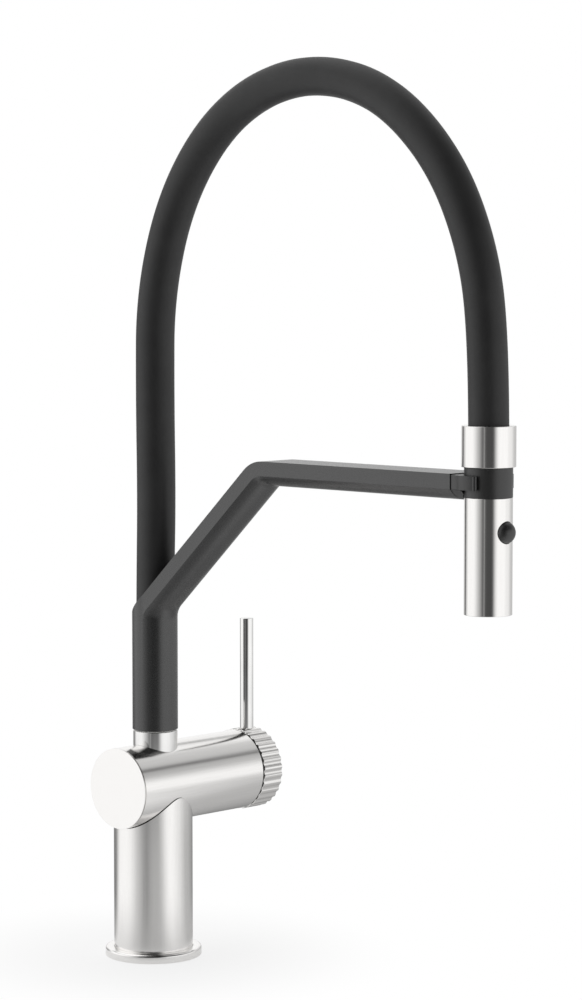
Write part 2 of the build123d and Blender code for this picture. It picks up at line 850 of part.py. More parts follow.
def check_valve():
    top = spray_core_top - valve_socket_depth - rest_gap
    valve = upright(check_valve_radius, top - check_valve_length, top, 0, handset_reach)
    return valve - upright(water_bore_radius, top - check_valve_length, top, 0, handset_reach)


def nozzle_places():
    turns = [math.radians(angle) for angle in around(nozzle_count)]
    return [(nozzle_circle_radius * math.cos(turn), nozzle_circle_radius * math.sin(turn)) for turn in turns]


def spray_face():
    face = upright(shell_bore_radius - slip_fit, face_bottom, face_top, 0, handset_reach)
    face -= upright(aerator_radius + slip_fit, face_bottom, face_top, 0, handset_reach)
    for x, y in nozzle_places():
        face -= upright(nozzle_radius + slip_fit, face_bottom, face_top, x, handset_reach - y)
    return face


def nozzle_mat():
    """Soft ring behind the face with one nozzle through each hole."""
    outer = spray_chamber_radius - slip_fit
    mat = upright_ring(outer, mat_inner_radius, face_top, face_top + mat_thickness, handset_reach)
    for x, y in nozzle_places():
        mat += upright(nozzle_radius, face_bottom - nozzle_stand_out, face_top, x, handset_reach - y)
    return mat


def aerator():
    low = face_bottom - aerator_stand_out
    body = upright(aerator_radius, low, face_top + mat_thickness, 0, handset_reach)
    for angle in around(aerator_holes):
        x = aerator_hole_circle * math.cos(math.radians(angle))
        y = aerator_hole_circle * math.sin(math.radians(angle))
        body -= upright(aerator_hole_radius, low, face_top + mat_thickness, x, handset_reach - y)
    return body


# Spray button

def spray_button():
    dome = Pos(0, -button_dome_reach, button_axis_height) * Sphere(button_radius)
    skirt = outward(button_radius, button_back_reach, button_dome_reach, button_axis_height)
    hidden_reach = button_dome_reach - 2 * button_radius
    behind = outward(2 * button_radius, hidden_reach, button_dome_reach, button_axis_height)
    button = (dome - behind) + skirt
    return button - outward(button_bore_radius, button_back_reach, spool_front_reach, button_axis_height)


def diverter_spool():
    spool = outward(spool_radius, spool_back_reach, spool_front_reach, button_axis_height)
    waist_start = handset_reach - spool_waist_length / 2
    waist = outward(2 * spool_radius, waist_start, waist_start + spool_waist_length, button_axis_height)
    return spool - (waist - outward(spool_waist_radius, waist_start, waist_start + spool_waist_length,
                                    button_axis_height))


def button_spring():
    length = spool_front_reach - pocket_floor_reach - 2 * spring_wire_radius
    coil = Helix(pitch=length / spring_turns, height=length, radius=spring_mean_radius)
    wire_end = Plane(origin=coil @ 0, z_dir=coil % 0)
    wire = sweep(wire_end * Circle(spring_wire_radius), path=coil, is_frenet=True)
    return Pos(0, -pocket_floor_reach - spring_wire_radius, button_axis_height) * Rot(90, 0, 0) * wire


# Pieces on the column's axis
COLUMN_PIECES = {
    "deck_seal": deck_seal,
    "base_flange": base_flange,
    "column": column,
    "inlet_core": inlet_core,
    "inlet_seals": inlet_seals,
    "mixing_barrel": mixing_barrel,
    "waterway_block": waterway_block,
    "end_cap": end_cap,
    "end_cap_seal": end_cap_seal,
    "cartridge": cartridge,
    "cartridge_seals": cartridge_seals,
    "cartridge_nut": cartridge_nut,
    "cartridge_spindle": cartridge_spindle,
    "knob": knob,
    "knob_grub_screw": knob_grub_screw,
    "lever_rod": lever_rod,
}

# Pieces drawn about the spout's own axis
SPOUT_PIECES = {
    "spout_collar": spout_collar,
    "outlet_spigot": outlet_spigot,
    "spigot_seals": spigot_seals,
    "glide_ring": glide_ring,
    "swivel_bush": swivel_bush,
    "spout_hub": spout_hub,
    "hub_screw": hub_screw,
    "support_arm": support_arm,
    "holder_clip": holder_clip,
    "clip_screw": clip_screw,
    "hose_cover": hose_cover,
    "water_hose": water_hose,
    "lower_ferrule": lower_ferrule,
    "upper_ferrule": upper_ferrule,
    "neck_seal": neck_seal,
    "neck_clip": neck_clip,
    "handset_sleeve": handset_sleeve,
    "docking_band": docking_band,
    "spray_shell": spray_shell,
    "spray_core": spray_core,
    "check_valve": check_valve,
    "spray_face": spray_face,
    "nozzle_mat": nozzle_mat,
    "aerator": aerator,
    "spray_button": spray_button,
    "diverter_spool": diverter_spool,
    "button_spring": button_spring,
}

os.makedirs("parts", exist_ok=True)
for name, make in COLUMN_PIECES.items():
    export_step(make(), f"parts/{name}.step")
spout_axis = Pos(spout_axis_offset, 0, 0)
for name, make in SPOUT_PIECES.items():
    export_step(spout_axis * make(), f"parts/{name}.step")

route, bend_radii = hose_path()
print("hose length", round(route.length, 1), "bend radii", [round(radius) for radius in bend_radii])
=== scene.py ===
import json
import math

import bpy
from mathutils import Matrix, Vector


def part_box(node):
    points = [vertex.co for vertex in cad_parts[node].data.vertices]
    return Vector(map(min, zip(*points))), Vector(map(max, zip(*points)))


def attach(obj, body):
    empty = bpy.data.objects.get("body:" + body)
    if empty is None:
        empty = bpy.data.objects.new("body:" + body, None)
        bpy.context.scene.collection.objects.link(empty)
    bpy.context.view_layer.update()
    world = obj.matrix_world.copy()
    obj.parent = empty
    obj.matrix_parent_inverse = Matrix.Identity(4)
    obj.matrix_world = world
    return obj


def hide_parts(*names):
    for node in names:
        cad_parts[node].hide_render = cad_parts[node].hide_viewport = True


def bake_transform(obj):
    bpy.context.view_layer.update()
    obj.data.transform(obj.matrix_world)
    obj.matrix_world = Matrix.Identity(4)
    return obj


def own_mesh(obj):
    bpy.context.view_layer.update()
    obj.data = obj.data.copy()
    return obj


# Semi-professional kitchen tap. Metres, in the CAD frame: the column stands on the
# origin, +Z is up, the barrel lies along X with the lever at +X, and the spout
# points to -Y. "Reach" is the distance from the column's axis towards -Y.
# Angles of the constants are in degrees.

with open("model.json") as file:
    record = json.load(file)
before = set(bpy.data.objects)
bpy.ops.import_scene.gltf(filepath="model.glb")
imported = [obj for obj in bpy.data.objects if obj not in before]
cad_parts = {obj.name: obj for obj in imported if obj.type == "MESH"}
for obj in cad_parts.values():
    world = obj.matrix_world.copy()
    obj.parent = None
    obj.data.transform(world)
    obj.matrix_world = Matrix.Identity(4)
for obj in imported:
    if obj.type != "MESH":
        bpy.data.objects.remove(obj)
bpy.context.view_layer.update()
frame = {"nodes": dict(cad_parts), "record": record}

origin = Vector((0, 0, 0))

# Camera
view_target = (0.01463, -0.09591, 0.26544)
view_distance = 1.6
view_azimuth = 45.70
view_pitch = 4.508
sensor_height = 36.0
lens = 105.13
near_limit = 0.05

# Roundings and fits
fine_edge = 0.00015
soft_edge = 0.0003
arm_edge = 0.0005
fit = 0.0001
merge_gap = 0.000001
round_steps = 3
round_sides = 128
small_sides = 48

# Angles: triangles flatter than the first are joined, and edges sharper than the
# others are rounded, or stay edges where the faces around them are shaded smooth
flat_angle = 0.5
edge_angle = 30
arm_edge_angle = 25
clip_edge_angle = 50
knob_edge_angle = 65
knob_shade_angle = 25

# Base and column
flange_bore = 0.0185
flange_ledge = 0.002
flange_round = 0.0015
flange_round_steps = 8
seal_outer = 0.0258
seal_inner = 0.0236
column_wall = 0.0025
saddle_seam = 0.0004

# Barrel and its end cap
insert_radius = 0.0175
barrel_bore = 0.0177
nut_bore = 0.0193
nut_seat = 0.057
seal_section = 0.0015
cap_rim = 0.0004
cap_seam = 0.00045
cap_seam_depth = 0.0009

# Knob and lever; a flute's half width is a share of the pitch
flute_count = 30
flute_depth = 0.0007
flute_half_width = 0.36
steps_per_flute = 16
knob_proud = 0.0008
knob_edge = 0.0006
knob_recess_wall = 0.0033
knob_recess_depth = 0.003
spindle_hole = 0.0041
spindle_cover = 0.0036
rod_hole_gap = 0.0004
# Black ring between the barrel and the knob: a glide ring that also paints the shade in the gap
seam_ring_drop = 0.0002
seam_ring_inner = 0.0199

# Spout: its axis lies off the column's, towards the lever
spout_axis_offset = 0.0019
collar_bore = 0.0082

# Clip
clip_side = 0.0121
clip_shoulder = 0.2336
clip_shoulder_turn = 17.0
clip_shoulder_length = 0.0085
clip_shoulder_depth = 0.003
clip_cut = 0.2511
clip_bead_reach = 0.2515
clip_bead_offset = 0.0144
clip_bead_radius = 0.0012
clip_ring_height = 0.0073

# Handset
sleeve_floor = 0.0045
sleeve_bore = 0.0108
neck_bore = 0.0056
band_lip_length = 0.005
band_lip_wall = 0.0009
band_wall = 0.002
band_web = 0.0032
shell_wall = 0.0015
button_window_gap = 0.0002
button_bore = 0.0038
button_bore_depth = 0.003
button_sides = 64
dome_rings = 12
dome_setback = 0.0009

# Hose: (reach, height) of the points that its line follows, and its girth there
hose_route = [
    (0, 0.172), (0.0006, 0.217), (0.0018, 0.262), (0.0008, 0.320), (0.0014, 0.379),
    (0.0208, 0.436), (0.0605, 0.479), (0.1145, 0.497), (0.1715, 0.487), (0.2165, 0.450),
    (0.2415, 0.401), (0.2485, 0.349), (0.2485, 0.297),
]
hose_girth = [1.03, 1.04, 1.05, 1.05, 1.05, 1.03, 1, 0.98, 0.98, 1, 1, 1, 1]
hose_radius = 0.01045
hose_steps = 16
hose_sides = 12

# Finishes: the part of a noise's range that tones and gloss follow, and its details
noise_span = (0.3, 0.7)
fine_detail = 3.0
coarse_detail = 2.0
weak_bump = 0.5
steel_dark = (0.875, 0.86, 0.845)
steel_light = (0.925, 0.915, 0.90)
steel_grain = 0.000002
fine_steel_grain = 0.000001
black_cloud_scale = (60, 60, 60)
inner_part_scale = (400, 400, 400)
inner_part_spread = 0.15
inner_part_grain = 0.00001

# Studio: grey levels by bearing, 0 behind the camera and +90 at its right. The walls
# are given at eye level and high up, and the floor as the metal mirrors it.
level_stops = [
    (-180, 0.90), (-160, 0.85), (-147, 0.30), (-136, 0.25), (-124, 0.62), (-112, 1.0),
    (-74, 1.0), (-62, 0.80), (-52, 0.58), (-41, 0.38), (-31, 0.15), (-26, 0.12), (-22, 0.34),
    (-18, 0.10), (-10, 0.07), (12, 0.065), (18, 0.13), (27, 0.55), (36, 0.92), (46, 1.0),
    (78, 1.0), (90, 0.90), (108, 0.85), (128, 0.58), (157, 0.52), (170, 0.85),
]
high_stops = [
    (-180, 0.95), (-150, 1.0), (-62, 1.0), (-45, 0.5), (-30, 0.02), (32, 0.02), (52, 0.08),
    (85, 0.14), (100, 0.50), (135, 0.60), (152, 0.90),
]
floor_stops = [
    (-180, 0.25), (-160, 0.22), (-143, 0.22), (-132, 0.24), (-120, 0.65), (-110, 0.98),
    (-75, 1.0), (-64, 0.94), (-54, 0.80), (-44, 0.62), (-35, 0.53), (-25, 0.36), (-15, 0.29),
    (-7, 0.38), (1, 0.44), (20, 0.47), (28, 0.60), (38, 0.84), (48, 1.0), (60, 1.0),
    (68, 0.91), (79, 0.82), (91, 0.67), (105, 0.48), (122, 0.46), (143, 0.33), (165, 0.25),
]

# By the sine of the elevation: the dark gap above the light cards, and the climb over
# which the walls go from their level tones to their high ones
gap_stops = [(0.50, 1.0), (0.555, 0.33), (0.585, 0.33), (0.64, 1.0)]
wall_climb = (0.1, 0.55)
studio_strength = 1.06

# Floor: each pair is a start and an end, as distances from the column's axis. The
# share of plain white grows from the foot's to 1, as the camera and the metal see it.
floor_radius = 1.2
floor_sides = 96
floor_colour = (0.92, 0.92, 0.92)
floor_roughness = 0.6
seen_fade = (0.03, 0.15)
seen_foot_white = 0.82
mirrored_fade = (0.04, 0.20)
mirrored_foot_white = 0.45
floor_tone_start = (0.035, 0.06)
floor_tone_end = (0.3, 1.1)


# Modelling

def only(piece):
    """Makes a piece the one that the next operators act on."""
    bpy.ops.object.select_all(action="DESELECT")
    piece.select_set(True)
    bpy.context.view_layer.objects.active = piece


def turned(name, axis, centre, outline, sides=round_sides, solid=False):
    """Runs a circle through an outline's (radius, place along the axis) points, as on a lathe."""
    along = Vector((axis == "X", axis == "Y", axis == "Z"))
    across = Vector((1, 1, 1)) - along
    tilt = {"X": (0, math.pi / 2, 0), "Y": (-math.pi / 2, 0, 0), "Z": (0, 0, 0)}[axis]
    base = across * Vector(centre)
    radius, place = outline[0]
    bpy.ops.object.select_all(action="DESELECT")
    bpy.ops.mesh.primitive_circle_add(
        vertices=sides, radius=radius, fill_type="NGON" if solid else "NOTHING",
        location=base + along * place, rotation=tilt,
    )
    piece = bpy.context.object
    piece.name = name
    bpy.ops.object.transform_apply(location=True, rotation=True, scale=True)
    bpy.ops.object.mode_set(mode="EDIT")
    bpy.ops.mesh.select_all(action="SELECT")
    for next_radius, next_place in outline[1:]:
        bpy.ops.mesh.extrude_region_move(
            TRANSFORM_OT_translate={"value": along * (next_place - place)})
        bpy.ops.transform.resize(
            value=across * (next_radius / radius) + along,
            center_override=base + along * next_place,
        )
        radius, place = next_radius, next_place
    bpy.ops.mesh.select_all(action="SELECT")
    bpy.ops.mesh.remove_doubles(threshold=merge_gap)
    bpy.ops.mesh.normals_make_consistent(inside=False)
    bpy.ops.object.mode_set(mode="OBJECT")
    return piece


def ring_outline(inner, outer, low, high):
    """Outline of a plain ring, which ends where it starts."""
    return [(inner, low), (outer, low), (outer, high), (inner, high), (inner, low)]


def rounded_corner(radius, place, size, steps):
    """Outline points of a quarter round between a turned side and the end face above it."""
    points = []
    for step in range(steps + 1):
        angle = math.pi / 2 * step / steps
        points.append((
            radius - size * (1 - math.cos(angle)),
            place - size * (1 - math.sin(angle)),
        ))
    return points


def round_off(piece, width, limit=edge_angle):
    """Rounds every edge sharper than the limit and keeps the faces beside it flat."""
    only(piece)
    bpy.ops.object.shade_smooth()
    bpy.ops.object.modifier_add(type="BEVEL")
    bevel = piece.modifiers[-1]
    bevel.width = width
    bevel.segments = round_steps
    bevel.limit_method = "ANGLE"
    bevel.angle_limit = math.radians(limit)
    bevel.harden_normals = True
    bpy.ops.object.modifier_apply(modifier=bevel.name)


def smooth_by_angle(piece, angle=edge_angle):
    """Shades a piece smooth, but for its edges sharper than the angle."""
    only(piece)
    bpy.ops.object.shade_smooth_by_angle(angle=math.radians(angle))


def join_close_points(piece, flatten=False):
    """Joins points that all but touch and, to flatten, triangles that lie in one plane."""
    only(piece)
    bpy.ops.object.mode_set(mode="EDIT")
    bpy.ops.mesh.select_all(action="SELECT")
    bpy.ops.mesh.remove_doubles(threshold=merge_gap)
    if flatten:
        bpy.ops.mesh.dissolve_limited(angle_limit=math.radians(flat_angle))
    bpy.ops.object.mode_set(mode="OBJECT")


def close_ends(piece):
    """Caps the open rims of a piece."""
    only(piece)
    bpy.ops.object.mode_set(mode="EDIT")
    bpy.ops.mesh.select_mode(type="EDGE")
    bpy.ops.mesh.select_all(action="DESELECT")
    bpy.ops.mesh.select_non_manifold()
    bpy.ops.mesh.fill_holes(sides=0)
    bpy.ops.mesh.select_all(action="SELECT")
    bpy.ops.mesh.normals_make_consistent(inside=False)
    bpy.ops.object.mode_set(mode="OBJECT")


def combine(piece, tool, operation="DIFFERENCE"):
    """Cuts a tool out of a piece, or joins it on, and takes the tool away."""
    only(piece)
    bpy.ops.object.modifier_add(type="BOOLEAN")
    boolean = piece.modifiers[-1]
    boolean.operation = operation
    boolean.solver = "EXACT"
    boolean.object = tool
    bpy.ops.object.modifier_apply(modifier=boolean.name)
    bpy.data.objects.remove(tool)


def rod_tool(axis, centre, radius, low, high, sides=round_sides):
    """Round solid that is cut out of a piece or joined to it."""
    return turned("cutter", axis, centre, [(radius, low), (radius, high)], sides, solid=True)


def copy_of(node, name):
    """Own copy of a CAD node's mesh, with its loose triangles joined into flat faces."""
    piece = bpy.data.objects.new(name, frame["nodes"][node].data.copy())
    bpy.context.scene.collection.objects.link(piece)
    join_close_points(piece, flatten=True)
    bpy.ops.mesh.customdata_custom_splitnormals_clear()
    return piece


def fit_out(piece, body, slot, material, *nodes):
    """Gives a piece its material, the body it moves with and the CAD nodes it stands for."""
    piece.data.materials.clear()
    piece.data.materials.append(material)
    if body:
        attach(piece, body)
    if nodes:
        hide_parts(*nodes)


# Materials

def blank_material(name, colour, metallic, roughness):
    """Material with one shader and plain values, which noises then take over."""
    material = bpy.data.materials.new(name)
    material.use_nodes = True
    shader = material.node_tree.nodes["Principled BSDF"]
    shader.inputs["Base Color"].default_value = (*colour, 1)
    shader.inputs["Metallic"].default_value = metallic
    shader.inputs["Roughness"].default_value = roughness
    return material, material.node_tree, shader


def stretched_noise(tree, scale, detail=fine_detail):
    """Noise on the piece's own coordinates, with a scale for each axis."""
    place = tree.nodes.new("ShaderNodeTexCoord")
    mapping = tree.nodes.new("ShaderNodeMapping")
    noise = tree.nodes.new("ShaderNodeTexNoise")
    mapping.inputs["Scale"].default_value = scale
    noise.inputs["Scale"].default_value = 1.0
    noise.inputs["Detail"].default_value = detail
    tree.links.new(place.outputs["Object"], mapping.inputs["Vector"])
    tree.links.new(mapping.outputs["Vector"], noise.inputs["Vector"])
    return noise.outputs["Fac"]


def spanned(tree, value, start, end, low, high):
    """Node that runs from low to high while a value goes from start to end."""
    span = tree.nodes.new("ShaderNodeMapRange")
    span.inputs["From Min"].default_value = start
    span.inputs["From Max"].default_value = end
    span.inputs["To Min"].default_value = low
    span.inputs["To Max"].default_value = high
    tree.links.new(value, span.inputs["Value"])
    return span


def between(tree, factor, low, high):
    """Number that runs from low to high with a noise."""
    return spanned(tree, factor, *noise_span, low, high).outputs["Result"]


def tinted(tree, factor, dark, light):
    """Colour that runs from dark to light with a noise."""
    ramp = tree.nodes.new("ShaderNodeValToRGB")
    for element, position, tone in zip(ramp.color_ramp.elements, noise_span, (dark, light)):
        element.position = position
        element.color = (*tone, 1)
    tree.links.new(factor, ramp.inputs["Fac"])
    return ramp.outputs["Color"]


def bumped(tree, shader, height, depth, strength=1.0):
    """Gives a shader fine relief from a noise."""
    bump = tree.nodes.new("ShaderNodeBump")
    bump.inputs["Strength"].default_value = strength
    bump.inputs["Distance"].default_value = depth
    tree.links.new(height, bump.inputs["Height"])
    tree.links.new(bump.outputs["Normal"], shader.inputs["Normal"])


def brushed_steel(name, grain_scale, roughness, grain_depth=steel_grain, lift=0.0):
    """Steel brushed along one axis; the grain's scale is small along the scratches."""
    dark = [lift + channel for channel in steel_dark]
    light = [lift + channel for channel in steel_light]
    material, tree, shader = blank_material(name, light, 1.0, roughness[0])
    streaks = stretched_noise(tree, grain_scale)
    tree.links.new(tinted(tree, streaks, dark, light), shader.inputs["Base Color"])
    tree.links.new(between(tree, streaks, *roughness), shader.inputs["Roughness"])
    bumped(tree, shader, streaks, grain_depth)
    return material


def polished_steel():
    """Bright polished steel with faint wiping marks."""
    dark, middle, light = (0.86, 0.855, 0.845), (0.89, 0.885, 0.875), (0.92, 0.915, 0.905)
    clean, mean, wiped = 0.04, 0.07, 0.11
    smear_scale = (180, 180, 90)
    material, tree, shader = blank_material("polished_steel", middle, 1.0, mean)
    smears = stretched_noise(tree, smear_scale, coarse_detail)
    tree.links.new(between(tree, smears, clean, wiped), shader.inputs["Roughness"])
    tree.links.new(tinted(tree, smears, dark, light), shader.inputs["Base Color"])
    return material


def matt_black(name, dark, light, roughness, grain, grain_depth, gloss, refraction=1.5):
    """Black finish with a fine grain, for the coated arm and the moulded parts."""
    material, tree, shader = blank_material(name, dark, 0.0, roughness[0])
    shader.inputs["Specular IOR Level"].default_value = gloss
    shader.inputs["IOR"].default_value = refraction
    speckle = stretched_noise(tree, (grain, grain, grain))
    clouds = stretched_noise(tree, black_cloud_scale, coarse_detail)
    tree.links.new(tinted(tree, clouds, dark, light), shader.inputs["Base Color"])
    tree.links.new(between(tree, speckle, *roughness), shader.inputs["Roughness"])
    bumped(tree, shader, speckle, grain_depth, weak_bump)
    return material


def inner_part(name, colour, roughness, metallic=0.0):
    """Plain material of the inner parts, slightly uneven in tone and gloss."""
    material, tree, shader = blank_material(name, colour, metallic, roughness)
    clouds = stretched_noise(tree, inner_part_scale)
    less = 1 - inner_part_spread
    more = 1 + inner_part_spread
    darker = [less * channel for channel in colour]
    tree.links.new(tinted(tree, clouds, darker, colour), shader.inputs["Base Color"])
    tree.links.new(
        between(tree, clouds, less * roughness, more * roughness), shader.inputs["Roughness"])
    bumped(tree, shader, clouds, inner_part_grain, weak_bump)
    return material


long_steel = brushed_steel(
    "steel_brushed_lengthwise", grain_scale=(40, 2600, 2600), roughness=(0.13, 0.19), lift=0.04)
upright_steel = brushed_steel(
    "steel_brushed_upright", grain_scale=(2600, 2600, 40), roughness=(0.15, 0.21), lift=0.045)
handset_steel = brushed_steel(
    "steel_fine_upright", grain_scale=(5200, 5200, 45), roughness=(0.08, 0.14),
    grain_depth=fine_steel_grain)
knob_steel = brushed_steel(
    "steel_fine_lengthwise", grain_scale=(60, 3000, 3000), roughness=(0.10, 0.15),
    grain_depth=fine_steel_grain)
fine_steel = brushed_steel(
    "steel_fine_ground", grain_scale=(1400, 1400, 1400), roughness=(0.12, 0.18),
    grain_depth=fine_steel_grain, lift=0.06)
bright_steel = polished_steel()
arm_black = matt_black(
    "black_coating", dark=(0.016, 0.016, 0.0162), light=(0.021, 0.021, 0.0213),
    roughness=(0.25, 0.31), grain=2600, grain_depth=0.000004, gloss=0.95, refraction=1.55)
clip_black = matt_black(
    "black_plastic", dark=(0.020, 0.020, 0.020), light=(0.026, 0.026, 0.026),
    roughness=(0.34, 0.42), grain=1800, grain_depth=0.000004, gloss=0.85)
hose_black = matt_black(
    "black_silicone", dark=(0.026, 0.026, 0.0265), light=(0.035, 0.035, 0.0355),
    roughness=(0.46, 0.54), grain=1500, grain_depth=0.000005, gloss=0.50)
small_steel = inner_part("small_steel", (0.62, 0.61, 0.60), roughness=0.25, metallic=1.0)

slot_materials = {
    "brushed_steel": fine_steel,
    "polished_steel": bright_steel,
    "black_coating": arm_black,
    "black_plastic": clip_black,
    "black_silicone": hose_black,
    "inner_hose": inner_part("inner_hose", (0.5, 0.5, 0.5), roughness=0.5),
    "brass": inner_part("brass", (0.72, 0.55, 0.28), roughness=0.28, metallic=1.0),
    "steel_small_parts": small_steel,
    "white_plastic": inner_part("white_plastic", (0.78, 0.78, 0.76), roughness=0.35),
    "grey_plastic": inner_part("grey_plastic", (0.24, 0.24, 0.25), roughness=0.45),
    "seal_rubber": inner_part("seal_rubber", (0.016, 0.016, 0.016), roughness=0.6),
    "nozzle_silicone": inner_part("nozzle_silicone", (0.32, 0.32, 0.32), roughness=0.55),
}


def dress_cad_nodes():
    """Every CAD node gets the material of its slot; the ones that show are replaced later."""
    for part in frame["record"]["subparts"]:
        node = frame["nodes"][part["node"]]
        node.data.materials.clear()
        node.data.materials.append(slot_materials[part["material_slot"]])


# Hose

def hose_curve(name, thickness):
    """Smooth curve that follows the hose's route, as a bare line or as a tube."""
    curve = bpy.data.curves.new(name, "CURVE")
    curve.dimensions = "3D"
    curve.resolution_u = hose_steps
    curve.bevel_depth = thickness
    curve.bevel_resolution = hose_sides
    curve.use_fill_caps = True
    spline = curve.splines.new("NURBS")
    spline.points.add(len(hose_route) - 1)
    for point, (reach, height), girth in zip(spline.points, hose_route, hose_girth):
        point.co = (spout_axis_offset, -reach, height, 1)
        point.radius = girth
    spline.order_u = 3
    spline.use_endpoint_u = True
    return curve


def hose_line():
    """Points along the middle of the hose."""
    line = bpy.data.objects.new("hose_line", hose_curve("hose_line", 0))
    bpy.context.scene.collection.objects.link(line)
    mesh = bpy.data.meshes.new_from_object(line)
    points = [tuple(vertex.co) for vertex in mesh.vertices]
    bpy.data.objects.remove(line)
    return points


def spray_hose():
    """Arched hose, as a smooth tube along its route."""
    line = hose_line()
    tube = bpy.data.objects.new("spray_hose", hose_curve("spray_hose", hose_radius))
    bpy.context.scene.collection.objects.link(tube)
    only(tube)
    bpy.ops.object.convert(target="MESH")
    tube = bpy.context.object
    bpy.ops.object.shade_smooth()
    fit_out(tube, None, "black_silicone", hose_black, "hose_cover", "water_hose")
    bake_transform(tube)


# Base and column

def barrel_axis():
    """Point above the origin that the barrel's axis goes through."""
    low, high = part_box("mixing_barrel")
    return Vector((0, 0, (low.z + high.z) / 2))


def base_flange():
    """Rosette with a pocket for its seal, a seat for the column and a rounded top edge."""
    low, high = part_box("base_flange")
    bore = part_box("column")[1].x + fit
    seal_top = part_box("deck_seal")[1].z
    outline = [
        (flange_bore, low.z), (seal_inner, low.z), (seal_inner, seal_top),
        (seal_outer, seal_top), (seal_outer, low.z), (high.x, low.z),
    ]
    outline += rounded_corner(high.x, high.z, flange_round, flange_round_steps)
    outline += [
        (bore, high.z), (bore, flange_ledge), (flange_bore, flange_ledge), (flange_bore, low.z),
    ]
    flange = turned("base_flange_ring", "Z", origin, outline)
    round_off(flange, soft_edge)
    fit_out(flange, "base", "brushed_steel", fine_steel, "base_flange")


def column():
    """Upright tube that ends in a saddle under the barrel, with a fine seam between them."""
    low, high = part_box("column")
    barrel_low, barrel_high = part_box("mixing_barrel")
    axis = barrel_axis()
    outline = ring_outline(high.x - column_wall, high.x, low.z, axis.z)
    tube = turned("column_tube", "Z", origin, outline)
    combine(tube, rod_tool("X", axis, barrel_high.y + saddle_seam, barrel_low.x, barrel_high.x))
    smooth_by_angle(tube)
    fit_out(tube, "base", "brushed_steel", upright_steel, "column")


# Mixing barrel, end cap, knob and lever

def mixing_barrel():
    """Tube whose bore widens for the cartridge's nut at the lever's end."""
    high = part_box("mixing_barrel")[1]
    radius = high.y
    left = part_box("end_cap")[0].x + cap_rim + cap_seam
    outline = [
        (barrel_bore, left), (radius, left), (radius, high.x), (nut_bore, high.x),
        (nut_bore, nut_seat), (barrel_bore, nut_seat), (barrel_bore, left),
    ]
    barrel = turned("barrel_tube", "X", barrel_axis(), outline)
    round_off(barrel, fine_edge)
    fit_out(barrel, "base", "brushed_steel", long_steel, "mixing_barrel")


def end_cap():
    """Disc with a thin rim and a seam behind it, and an insert with the groove of its seal."""
    low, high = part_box("end_cap")
    rim = low.x + cap_rim
    seat = rim + cap_seam
    seam_floor = high.y - cap_seam_depth
    groove_floor = insert_radius - seal_section
    middle = (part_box("mixing_barrel")[0].x + high.x) / 2
    groove_left = middle - seal_section / 2
    groove_right = middle + seal_section / 2
    outline = [
        (high.y, low.x), (high.y, rim), (seam_floor, rim), (seam_floor, seat),
        (insert_radius, seat), (insert_radius, groove_left), (groove_floor, groove_left),
        (groove_floor, groove_right), (insert_radius, groove_right), (insert_radius, high.x),
    ]
    cap = turned("end_cap_disc", "X", barrel_axis(), outline, solid=True)
    round_off(cap, fine_edge)
    fit_out(cap, "base", "brushed_steel", fine_steel, "end_cap")


def select_by_turn(piece, axis, pitch, step):
    """Selects the points at one place of each flute."""
    only(piece)
    bpy.ops.object.mode_set(mode="EDIT")
    bpy.ops.mesh.select_mode(type="VERT")
    bpy.ops.mesh.select_all(action="DESELECT")
    bpy.ops.object.mode_set(mode="OBJECT")
    for vertex in piece.data.vertices:
        turn = math.atan2(vertex.co.y, vertex.co.z - axis.z) % pitch
        vertex.select = round(turn / pitch * steps_per_flute) == step


def knob():
    """Wheel with hollow flutes between flat ridges, a recess behind, and holes for its rods."""
    low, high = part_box("knob")
    axis = barrel_axis()
    radius = high.y + knob_proud
    wheel = turned(
        "fluted_knob", "X", axis, [(radius, low.x), (radius, high.x)],
        flute_count * steps_per_flute, solid=True)
    pitch = 2 * math.pi / flute_count
    for step in range(1, steps_per_flute):
        select_by_turn(wheel, axis, pitch, step)
        from_middle = step / steps_per_flute - 0.5
        share = max(0, 1 - (from_middle / flute_half_width) ** 2)
        factor = 1 - flute_depth * share / radius
        bpy.ops.object.mode_set(mode="EDIT")
        bpy.ops.transform.resize(value=(1, factor, factor), center_override=axis)
        bpy.ops.object.mode_set(mode="OBJECT")
    round_off(wheel, knob_edge, knob_edge_angle)
    rod_low, rod_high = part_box("lever_rod")
    rod_middle = (rod_low + rod_high) / 2
    rod_hole = (rod_high.y - rod_low.y) / 2 + rod_hole_gap
    combine(wheel, rod_tool(
        "X", axis, high.y - knob_recess_wall,
        low.x - knob_recess_depth, low.x + knob_recess_depth))
    combine(wheel, rod_tool(
        "X", axis, spindle_hole, low.x, high.x - spindle_cover, small_sides))
    combine(wheel, rod_tool(
        "Z", rod_middle, rod_hole, rod_low.z, high.z + knob_recess_depth, small_sides))
    smooth_by_angle(wheel, knob_shade_angle)
    fit_out(wheel, "knob", "brushed_steel", knob_steel, "knob")


def glide_and_shade_ring():
    """Black glide ring in the gap between the barrel and the knob, dark so that it also paints
    the gap's shade.
    """
    barrel_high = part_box("mixing_barrel")[1]
    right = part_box("knob")[0].x - fit / 2
    outline = ring_outline(seam_ring_inner, barrel_high.y - seam_ring_drop, barrel_high.x, right)
    ring = turned("glide_and_shade_ring", "X", barrel_axis(), outline)
    smooth_by_angle(ring)
    fit_out(ring, "base", "black_plastic", clip_black)


def lever_rod():
    """Thin pin with rounded edges."""
    low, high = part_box("lever_rod")
    radius = (high.y - low.y) / 2
    outline = [(radius, low.z), (radius, high.z)]
    rod = turned("lever_pin", "Z", (low + high) / 2, outline, small_sides, solid=True)
    round_off(rod, soft_edge)
    fit_out(rod, "knob", "polished_steel", bright_steel, "lever_rod")


# Collar, arm and clip

